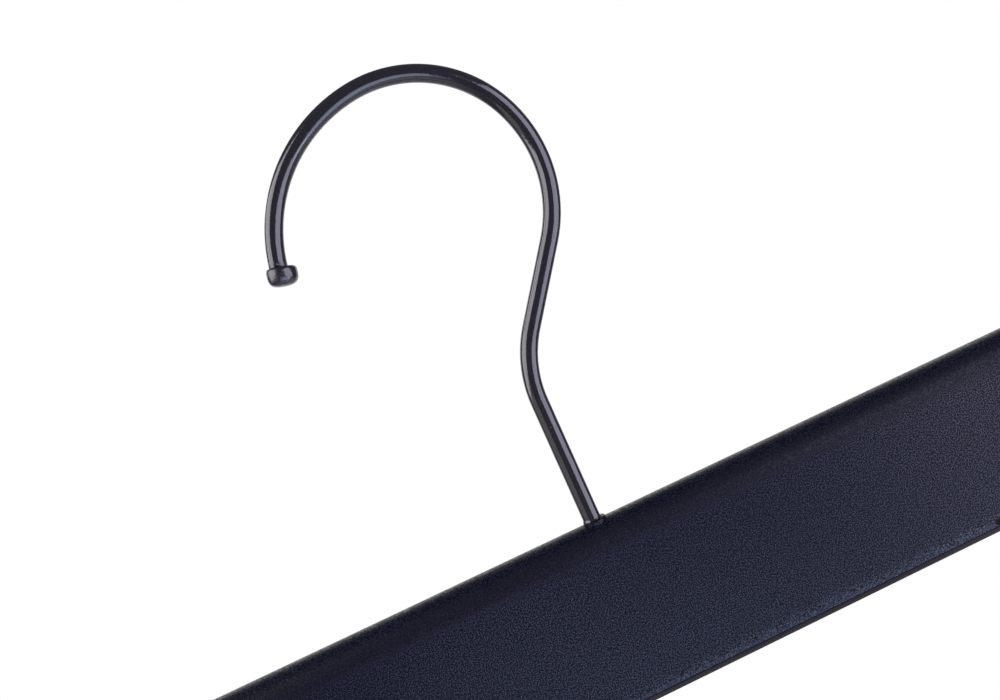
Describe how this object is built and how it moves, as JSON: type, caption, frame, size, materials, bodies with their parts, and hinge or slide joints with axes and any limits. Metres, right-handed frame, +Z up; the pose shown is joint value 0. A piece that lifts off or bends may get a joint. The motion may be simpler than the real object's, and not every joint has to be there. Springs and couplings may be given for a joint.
{
  "type": "clip hanger",
  "caption": "Slim plastic channel bar with a swivelling wire hook and sliding spring clips that grip skirts or trousers.",
  "frame": {"origin": "where a wardrobe rail bears inside the hook's crown, straight above the bar's swivel axis", "axes": "+Z up; +X along the bar; the bar's smooth face looks to -Y; the hook opens to -X"},
  "size_m": [0.3508, 0.0185, 0.1785],
  "materials": {
    "navy_black_plastic": "fine-grained matt moulding",
    "gloss_black_paint": "gloss",
    "zinc_plated_steel": "zinc plated",
    "spring_steel": "drawn wire",
    "soft_black_pad": "matt"
  },
  "bodies": {
    "hook_wire": {"hook": "gloss_black_paint", "retaining_washer": "zinc_plated_steel"},
    "bar_channel": {"bar": "navy_black_plastic"},
    "left_clip": {"left_rear_jaw": "navy_black_plastic", "left_hinge_pin": "zinc_plated_steel", "left_rear_pad": "soft_black_pad", "left_spring": "spring_steel"},
    "left_jaw": {"left_front_jaw": "navy_black_plastic", "left_front_pad": "soft_black_pad"},
    "right_clip": {"right_rear_jaw": "navy_black_plastic", "right_hinge_pin": "zinc_plated_steel", "right_rear_pad": "soft_black_pad", "right_spring": "spring_steel"},
    "right_jaw": {"right_front_jaw": "navy_black_plastic", "right_front_pad": "soft_black_pad"}
  },
  "joints": [
    {"name": "bar_swivel", "type": "hinge", "parent": "hook_wire", "child": "bar_channel", "pos_m": [0, 0, 0], "axis": [0, 0, 1], "continuous": true},
    {"name": "left_clip_slide", "type": "slide", "parent": "bar_channel", "child": "left_clip", "axis": [1, 0, 0], "range_m": [0, 0.0772]},
    {"name": "left_jaw_hinge", "type": "hinge", "parent": "left_clip", "child": "left_jaw", "pos_m": [-0.1574, 0, -0.14563], "axis": [-1, 0, 0], "range_deg": [0, 22], "stiffness_Nm_per_rad": 0.05, "springref_deg": -22.92, "deforming": ["left_spring"]},
    {"name": "right_clip_slide", "type": "slide", "parent": "bar_channel", "child": "right_clip", "axis": [-1, 0, 0], "range_m": [0, 0.0772]},
    {"name": "right_jaw_hinge", "type": "hinge", "parent": "right_clip", "child": "right_jaw", "pos_m": [0.1574, 0, -0.14563], "axis": [-1, 0, 0], "range_deg": [0, 22], "stiffness_Nm_per_rad": 0.05, "springref_deg": -22.92, "deforming": ["right_spring"]}
  ]
}
